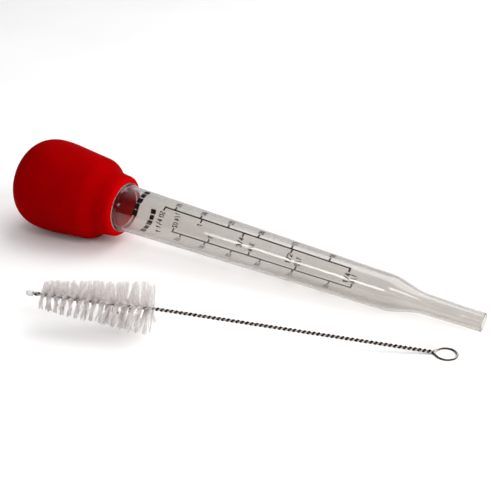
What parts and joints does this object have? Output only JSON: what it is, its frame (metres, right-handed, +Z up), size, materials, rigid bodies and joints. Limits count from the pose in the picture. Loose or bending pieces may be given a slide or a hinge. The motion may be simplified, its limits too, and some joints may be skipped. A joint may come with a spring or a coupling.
{
  "type": "kitchen baster with cleaning brush",
  "caption": "Kitchen baster: red rubber squeeze bulb pushed over a clear graduated tapered tube with a narrow nozzle, lying beside its twisted-wire bristle cleaning brush.",
  "frame": {"origin": "middle of the footprint, on the bench that the baster and its brush lie on", "axes": "+X along the baster towards the nozzle, seen from above; +Z up; the brush lies on the -Y side"},
  "size_m": [0.2652, 0.1246, 0.0504],
  "materials": {
    "clear_plastic": "clear gloss",
    "print_ink": "printed matte black",
    "red_rubber": "satin moulded rubber",
    "steel_wire": "bright drawn wire",
    "nylon_bristle": "translucent nylon filament",
    "bead_plastic": "translucent white gloss"
  },
  "bodies": {
    "barrel": {"tube": "clear_plastic", "scale_front": "print_ink", "scale_back": "print_ink"},
    "squeeze_bulb": {"bulb": "red_rubber"},
    "brush": {"wire_strand_a": "steel_wire", "wire_strand_b": "steel_wire", "finger_loop": "steel_wire", "bristle_head": "nylon_bristle", "tip_bead": "bead_plastic"}
  },
  "joints": [
    {"name": "bulb_pull", "type": "slide", "parent": "barrel", "child": "squeeze_bulb", "axis": [-0.9967, 0, 0.0814], "range_m": [0, 0.045]},
    {"name": "brush_lift", "type": "slide", "parent": "barrel", "child": "brush", "axis": [0, 0, 1], "range_m": [0, 0.1]}
  ]
}
